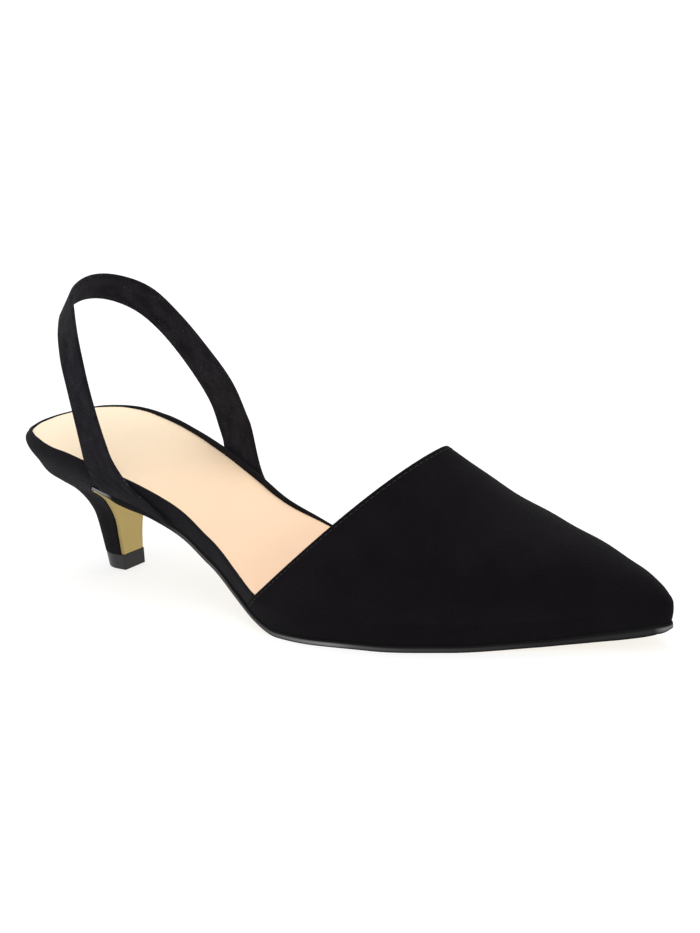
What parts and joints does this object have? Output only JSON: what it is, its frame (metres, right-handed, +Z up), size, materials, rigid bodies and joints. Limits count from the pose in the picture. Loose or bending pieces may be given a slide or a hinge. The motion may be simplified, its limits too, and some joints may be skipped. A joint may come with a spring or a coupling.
{
  "type": "slingback pump",
  "caption": "Right slingback pump with a pointed suede vamp, low flared covered heel, elastic heel strap and smooth leather insole; holds a foot.",
  "frame": {"origin": "on the floor under the middle of the shoe's length and width", "axes": "+X towards the toe, +Y towards the medial side, +Z up"},
  "size_m": [0.2556, 0.0772, 0.1048],
  "materials": {
    "suede": "matt black suede",
    "elastic": "finely woven black elastic",
    "insole_leather": "smooth peach leather",
    "sole_leather": "satin tan, black edge",
    "heel_suede": "matt black suede",
    "top_piece_rubber": "satin dark grey"
  },
  "bodies": {
    "root": {"upper": "suede", "sling_strap": "elastic", "insole": "insole_leather", "outsole": "sole_leather", "heel": "heel_suede", "top_piece": "top_piece_rubber"}
  },
  "joints": []
}
